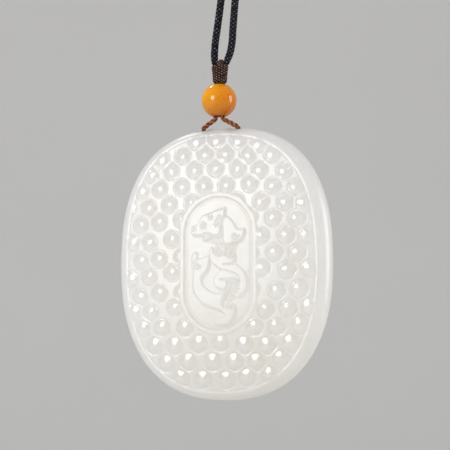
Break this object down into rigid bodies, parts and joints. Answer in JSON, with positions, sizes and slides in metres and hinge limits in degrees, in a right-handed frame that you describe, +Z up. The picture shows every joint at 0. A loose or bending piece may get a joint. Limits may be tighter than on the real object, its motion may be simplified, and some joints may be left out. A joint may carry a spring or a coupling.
{
  "type": "jade plaque pendant on a neck cord",
  "caption": "Rounded oval white jade plaque, bosses and a chi dragon in relief, hung by a thread and a bead from a loop of braided neck cord.",
  "frame": {"origin": "underside of the neck cord where its loop hangs over a hook, straight above the plaque's middle", "axes": "+Z up along the hanging cord, +Y out of the plaque's plain back, so its carved front looks along -Y, +X to the right of a viewer of the front"},
  "size_m": [0.0492, 0.0089, 0.388],
  "materials": {
    "jade": "polished",
    "brown_thread": "waxed",
    "amber": "polished",
    "brown_wrap": "braided",
    "black_cord": "braided"
  },
  "bodies": {
    "cord_and_bead": {"neck_cord": "black_cord", "knot": "brown_wrap", "bead": "amber", "hanging_thread": "brown_thread"},
    "plaque": {"plaque": "jade"}
  },
  "joints": [
    {"name": "plaque_swing", "type": "hinge", "parent": "cord_and_bead", "child": "plaque", "pos_m": [-0.001, 0, -0.32975], "axis": [1, 0, 0], "range_deg": [-10, 10]}
  ]
}
